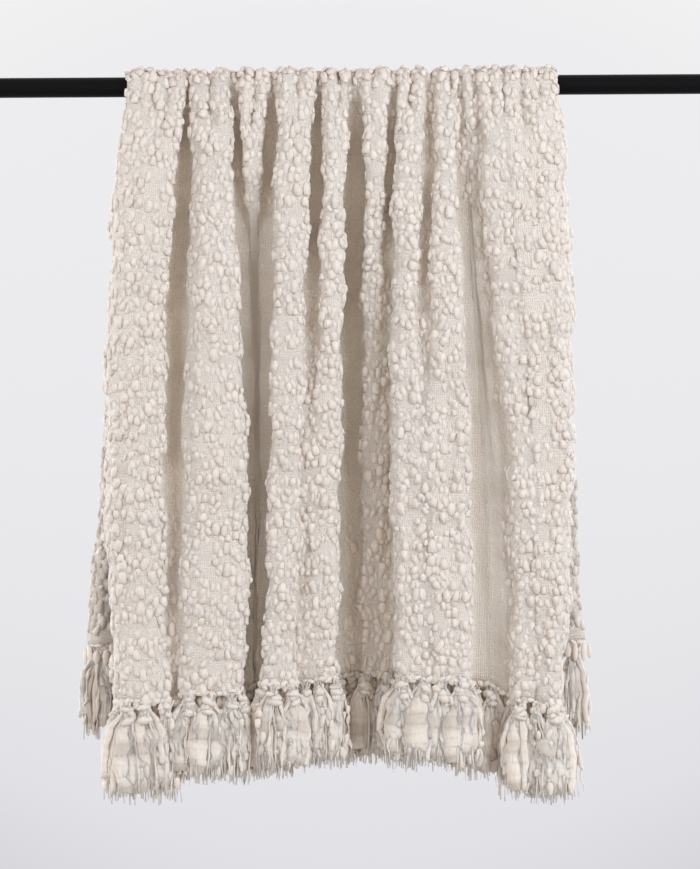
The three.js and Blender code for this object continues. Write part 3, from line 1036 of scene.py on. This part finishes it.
def add_yarns(heap, tassel, rng):
    """Plain yarns all through the tassel"""
    count = round(tassel.sizes.yarns * tassel.full)
    lengths = tassel.long * rng.uniform(0.92, 1.06, count)
    paths = tassel_paths(tassel, random_lay(count, rng), YARN_STATIONS, lengths, rng, 1.15)
    radii = tassel.sizes.yarn / MM / 2 * rng.uniform(0.7, 1.3, (count, 1))
    radii = radii * rng.uniform(0.85, 1.2, (count, len(YARN_STATIONS)))
    radii[:, -1] *= 0.8
    tube = tube_pattern(3, len(YARN_STATIONS))
    heap.add(tube, swept(tube, paths, radii), rng.random(count))


def add_slubbed(heap, tassel, rng):
    """Thick and thin yarns, thin within the knot"""
    count = tassel.sizes.slubbed
    lengths = tassel.long * rng.uniform(0.84, 0.98, count)
    paths = tassel_paths(tassel, random_lay(count, rng), SLUBBED_STATIONS, lengths, rng, 1.1)
    beat, phase = rng.uniform(2.0, 3.4, (count, 1)), rng.uniform(0, 2 * math.pi, (count, 1))
    lumps = np.clip(np.sin(SLUBBED_STATIONS * beat * 2 * math.pi + phase), 0, 1) ** 1.3
    radii = 0.9 + 2.8 * lumps * np.interp(SLUBBED_STATIONS, [0, 0.16, 0.24, 1], [0, 0, 1, 0.8])
    radii[:, -1] = 0.4
    tube = tube_pattern(5, len(SLUBBED_STATIONS))
    heap.add(tube, swept(tube, paths, radii), rng.random(count))


def add_puffs(heap, tassel, rng):
    """Slubs that swell on the outer face of the tassel"""
    count = tassel.sizes.puffs
    share = rng.uniform(0.18, 0.9, count)
    half = tassel.sizes.spread / MM / 2 * tassel.full
    half = half * np.interp(share, [0, 0.15, 0.35, 1], [0.2, 0.3, 0.9, 1.0])
    x = rng.uniform(-1, 1, count) * half
    y = rng.uniform(0.5, 4.5, count) - SETTLE * np.interp(share, [0, 0.3, 1], [0, 0.7, 1])
    centres = tassel.place + x[:, None] * tassel.side + y[:, None] * tassel.out
    centres = centres - (share * tassel.long)[:, None] * UP
    ups = unit(UP + rng.normal(0, 0.16, (count, 1)) * tassel.side)
    sides = unit(np.cross(tassel.out, ups))
    outs = tassel.out * np.ones((count, 1))
    scale = random_sizes(count, rng, (2.8, 4.8), (1.7, 2.6), (4.5, 10))
    puff = slub_pattern(0.2)
    points = placed(puff, centres, sides, outs, ups, scale)
    heap.add(puff, points + rng.normal(0, 0.4, points.shape), rng.uniform(0.3, 1, count))


def add_knot(heap, tassel, rng):
    """The turns of yarn that a tassel's knot shows, one below the other"""
    sizes, side, wraps = tassel.sizes, tassel.side, KNOT_WRAPS
    width = sizes.knot / MM / 2 * rng.uniform(0.65, 1.15, wraps) * tassel.full**0.5
    drop = sizes.knot_drop / MM + WRAP_PITCH * (np.arange(wraps) - (wraps - 1) / 2)
    drop = drop + rng.normal(0, 1.2, wraps)
    centres = tassel.place - drop[:, None] * UP + side * rng.normal(0, 2.0, (wraps, 1))
    tilt = rng.normal(0, 0.5, (wraps, 1))
    ups, sides = unit(UP + tilt * side), unit(side - tilt * UP)
    outs = unit(np.cross(ups, sides))
    scale = np.stack([width, width * 0.8, rng.uniform(4.2, 6.6, wraps)], axis=1)
    ball = ball_pattern(6, 4)
    points = placed(ball, centres, sides, outs, ups, scale)
    heap.add(ball, points + rng.normal(0, 0.4, points.shape), rng.uniform(0.3, 1, wraps))


def add_hairs(heap, tassel, rng):
    """Single fibres that stray from the foot of the tassel"""
    spread, count = tassel.sizes.spread / MM, STRAY_FIBRES
    start = rng.uniform(0.70, 0.95, count)
    x = rng.normal(0, spread * 0.30, count)
    y = rng.uniform(-0.15, 0.15, count) * spread
    bend = rng.uniform(-1, 1, (count, 2)) * (6.0, 3.0)
    t = np.linspace(0, 1, 3)
    reach = rng.uniform(0.06, 0.13, count)
    z = -(start[:, None] + reach[:, None] * t) * tassel.long
    across = x[:, None] + bend[:, :1] * t**2
    deep = y[:, None] + bend[:, 1:] * t**2 - SETTLE
    across = across[..., None] * tassel.side
    paths = tassel.place + across + deep[..., None] * tassel.out + z[..., None] * UP
    tube = tube_pattern(3, len(t))
    radii = np.linspace(0.6, 0.16, len(t)) * np.ones((count, 1))
    heap.add(tube, swept(tube, paths, radii), rng.random(count))


def add_edge_loops(heap, line, face, rng):
    """Short thick loops of yarn along the cut edge: a row of upright ones behind the knots, and one of level
    ones that lie over each other on the edge itself"""
    lengths = run_lengths(line)
    marks = np.arange(LOOP_PITCH, lengths[-1] - LOOP_PITCH, LOOP_PITCH)
    count, ball = len(marks), ball_pattern(6, 4)
    centres = between_points(line, lengths, marks)
    ahead = unit(ways_along(line, lengths, marks))
    up = UP * np.ones((count, 1))
    inward = unit(np.cross(up, ahead)) * face
    scale = random_sizes(count, rng, (4.5, 6.5), (1.8, 2.6), (8, 12))
    behind = centres + inward * rng.uniform(6, 10, (count, 1)) - up * rng.uniform(8, 15, (count, 1))
    points = placed(ball, behind, unit(np.cross(inward, up)), inward, up, scale)
    heap.add(ball, points, rng.uniform(0, 0.5, count))
    tilt = rng.normal(0, 0.7, (count, 1))
    long_axis = unit(ahead + tilt * up)
    outs = unit(np.cross(up, long_axis))
    short_axis = unit(np.cross(long_axis, outs))
    scale = random_sizes(count, rng, (3.0, 4.4), (3.0, 3.8), (5.0, 7.5))
    centres = centres - up * rng.uniform(0.0, 3.0, (count, 1))
    points = placed(ball, centres, short_axis, outs, long_axis, scale)
    heap.add(ball, points, rng.uniform(0.3, 1, count))


PARTS_OF_TASSEL = (add_cores, add_locks, add_yarns, add_slubbed, add_puffs, add_knot, add_hairs)


def make_fringe(settings, name, node, line, longer, face, seed):
    """One knotted fringe along a hem: its tassels, and the looped edge that they hang from"""
    sizes, rng = settings.fringe, np.random.default_rng(seed)
    heap = Heap()
    roots, pitch = tassel_roots(line, sizes.tassels, face)
    for i, (place, ahead, side, out) in enumerate(roots):
        full = rng.uniform(0.7, 1.25)
        place = place + ahead * rng.normal(0, 2.5)
        long = sizes.length / MM + longer(i / (sizes.tassels - 1)) + rng.uniform(-5, 5)
        for add_part in PARTS_OF_TASSEL:
            add_part(heap, Tassel(place, ahead, side, out, long, full, pitch, sizes), rng)
    add_edge_loops(heap, line, face, rng)
    shade = tuple(settings.colours.yarn)
    # 0.35: how strongly the painted shade between the fibres darkens the fringe
    finish = slub_wool(shade, name + "_wool", 0.16, 0.0020, 0.35, glow=0.55)
    fringe = heap.piece(name, finish)
    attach(fringe, "root")
    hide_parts(node)


def front_lengths(place):
    """How much longer than usual a front tassel is, from the left end of the hem to the right one"""
    return float(np.interp(place, [0, 0.10, 0.12, 0.2, 0.8, 0.9, 1], [6, 6, -12, -8, -5, 3, 4]))


def back_lengths(place):
    """The same behind"""
    return 4 * math.sin(9 * place)


# ---------------------------------------------------------------------------------------------------------
# The studio

CAMERA_AT = Vector((0.0084, -9.0, -0.4356))
VIEW_WIDTH = 0.875     # width of the view at the rod
SENSOR_MM = 36.0
ROLL = math.radians(0.33)
PAPER_FALL = 6.5       # painted shade behind: how fast the paper darkens downwards, and how much more so at its sides
PAPER_SPREAD = 11.0
PAPER_SHADES = (       # down to up
    (0.0, tone(216, 215, 220)),
    (0.12, tone(226, 225, 230)),
    (0.30, tone(231, 231, 233)),
    (0.5, tone(234, 234, 236)),
    (0.88, tone(237, 237, 239)),
    (1.0, tone(241, 241, 241)),
)
ROOM_LIGHT = (1.0, 0.91, 0.88, 1.0)
ROOM_STRENGTH = 0.485
FLOOR_Z = -1.25
FLOOR_RADIUS = 1.5
MIDDLE = (0.0, 0.0, -0.45)
# Lamps: name, place, target, width, watts and tint
LAMPS = (
    ("lamp_left", (-2.6, -2.2, 0.8), MIDDLE, 1.8, 53.0, (0.84, 0.95, 1.125)),
    ("lamp_right", (2.6, -2.2, 0.8), MIDDLE, 1.8, 98.0, (0.84, 0.95, 1.125)),
    ("lamp_front", (0.3, -3.4, -0.9), MIDDLE, 1.6, 2.8, (0.86, 0.93, 1.06)),
    ("lamp_low", (0.0, -0.35, -1.12), (0.0, 0.05, -0.75), 1.0, 0.16, (0.95, 0.93, 0.95)),
    ("lamp_edge", (-1.8, 0.03, -0.25), (-0.3, 0.04, -0.6), 0.3, 8.0, (0.87, 0.95, 1.06)),
    ("lamp_back_left", (-2.2, 2.6, 0.6), MIDDLE, 1.8, 70.0, (0.86, 0.94, 1.10)),
    ("lamp_back_right", (2.2, 2.6, 0.6), MIDDLE, 1.8, 70.0, (0.86, 0.94, 1.10)),
)


def make_camera():
    data = bpy.data.cameras.new("camera")
    data.sensor_fit = "HORIZONTAL"
    data.sensor_width = SENSOR_MM
    data.lens = SENSOR_MM * -CAMERA_AT.y / VIEW_WIDTH
    data.clip_end = 60.0
    camera = link(bpy.data.objects.new("camera", data))
    camera.location = CAMERA_AT
    camera.rotation_euler = (math.pi / 2, ROLL, 0.0)
    bpy.context.scene.camera = camera


def make_lamp(name, place, target, size, watts, tint):
    data = bpy.data.lights.new(name, "AREA")
    data.shape = "SQUARE"
    data.size = size
    data.energy = watts
    data.color = tint
    lamp = link(bpy.data.objects.new(name, data))
    lamp.visible_camera = False
    lamp.location = place
    lamp.rotation_euler = (Vector(target) - Vector(place)).to_track_quat("-Z", "Y").to_euler()


def make_world():
    """Even soft light all round, and behind the object pale paper with painted shade, a little darker
    downwards
    """
    world = bpy.data.worlds.new("studio")
    bpy.context.scene.world = world
    finish = Finish(world)
    seen = finish.node("ShaderNodeLightPath", output="Is Camera Ray")
    shows = (seen + seen.other("Is Glossy Ray") + seen.other("Is Transmission Ray")).least(1.0)
    sideways, _, height = finish.axes(finish.node("ShaderNodeTexCoord", output="Generated"))
    sideways = sideways * PAPER_SPREAD
    height = height * PAPER_FALL * ((sideways * sideways).least(0.4) + 1.0) + 0.5
    paper = finish.node("ShaderNodeValToRGB", {"stops": PAPER_SHADES}, {"Fac": height})
    light = finish.node("ShaderNodeBackground", {}, {"Color": ROOM_LIGHT, "Strength": ROOM_STRENGTH})
    backdrop = finish.node("ShaderNodeBackground", {}, {"Color": paper, "Strength": 1.0})
    shader = finish.node("ShaderNodeMixShader", {}, {0: shows, 1: light, 2: backdrop})
    finish.end(shader, "ShaderNodeOutputWorld")


def make_floor(settings):
    """A round pale floor that fades out towards its rim"""
    bm = bmesh.new()
    bmesh.ops.create_circle(bm, segments=96, radius=FLOOR_RADIUS, cap_ends=True)
    bmesh.ops.translate(bm, vec=(0, 0, FLOOR_Z), verts=bm.verts)
    mesh = bpy.data.meshes.new("floor")
    bm.to_mesh(mesh)
    bm.free()
    finish = Finish(bpy.data.materials.new("floor_paper"))
    x, y, _ = finish.axes(finish.place())
    distance = (x * x + y * y) ** 0.5
    edge = finish.node(
        "ShaderNodeMapRange",
        {"interpolation_type": "SMOOTHSTEP"},
        {"Value": distance, "From Min": FLOOR_RADIUS * 0.55, "From Max": FLOOR_RADIUS * 0.98},
    )
    matt = finish.node(
        "ShaderNodeBsdfPrincipled", {}, {"Base Color": (*settings.colours.floor, 1.0), "Roughness": 0.9}
    )
    clear = finish.node("ShaderNodeBsdfTransparent")
    mesh.materials.append(finish.end(finish.node("ShaderNodeMixShader", {}, {0: edge, 1: matt, 2: clear})))
    floor = link(bpy.data.objects.new("floor", mesh))


# ---------------------------------------------------------------------------------------------------------
# Operators, panel and registration


class THROW_OT_stage(bpy.types.Operator):
    """Make the camera, the lamps, the paper behind and the floor"""

    bl_idname = "throw.stage"
    bl_label = "Studio"

    def execute(self, context):
        context.scene.view_settings.view_transform = "Standard"
        make_camera()
        make_world()
        for lamp in LAMPS:
            make_lamp(*lamp)
        make_floor(context.scene.throw)
        return {"FINISHED"}


class THROW_OT_rod(bpy.types.Operator):
    """Paint the rod satin black"""

    bl_idname = "throw.rod"
    bl_label = "Rod finish"

    def execute(self, context):
        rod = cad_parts["rod"]
        paint = rod_paint(tuple(context.scene.throw.colours.rod))
        rod.data.materials.clear()
        rod.data.materials.append(paint)
        return {"FINISHED"}


class THROW_OT_slubs(bpy.types.Operator):
    """Cover the face of the cloth with slubs"""

    bl_idname = "throw.slubs"
    bl_label = "Slubs"

    def execute(self, context):
        make_slubs(context.scene.throw)
        return {"FINISHED"}


class THROW_OT_fringes(bpy.types.Operator):
    """Make the knotted fringes along both hems"""

    bl_idname = "throw.fringes"
    bl_label = "Fringes"

    def execute(self, context):
        settings, points = context.scene.throw, cloth_surface().points
        make_fringe(settings, "fringe_front_yarn", "fringe_front", points[0], front_lengths, 1, 23)
        make_fringe(settings, "fringe_back_yarn", "fringe_back", points[-1], back_lengths, -1, 22)
        return {"FINISHED"}


class THROW_OT_cloth(bpy.types.Operator):
    """Hang the ground cloth over the rod"""

    bl_idname = "throw.cloth"
    bl_label = "Cloth"

    def execute(self, context):
        settings = context.scene.throw
        cloth = make_cloth(settings)
        return {"FINISHED"}


class THROW_PT_panel(bpy.types.Panel):
    """Sizes, colours and steps of the throw"""

    bl_idname = "THROW_PT_panel"
    bl_label = "Boucle throw"
    bl_space_type = "VIEW_3D"
    bl_region_type = "UI"
    bl_category = "Throw"

    def draw(self, context):
        settings = context.scene.throw
        for group in (settings.cloth, settings.slubs, settings.fringe, settings.colours):
            box = self.layout.box()
            for name in group.__annotations__:
                box.prop(group, name)
        for step in STEPS:
            self.layout.operator(step.bl_idname)


STEPS = (THROW_OT_stage, THROW_OT_rod, THROW_OT_slubs, THROW_OT_fringes, THROW_OT_cloth)
CLASSES = (ClothSizes, SlubSizes, FringeSizes, Colours, ThrowSettings, *STEPS, THROW_PT_panel)


def register():
    for cls in CLASSES:
        bpy.utils.register_class(cls)
    bpy.types.Scene.throw = PointerProperty(type=ThrowSettings)


def unregister():
    del bpy.types.Scene.throw
    for cls in reversed(CLASSES):
        bpy.utils.unregister_class(cls)


def main():
    register()
    bpy.ops.throw.stage()
    bpy.ops.throw.rod()
    bpy.ops.throw.slubs()
    bpy.ops.throw.fringes()
    bpy.ops.throw.cloth()


if __name__ == "__main__":
    main()
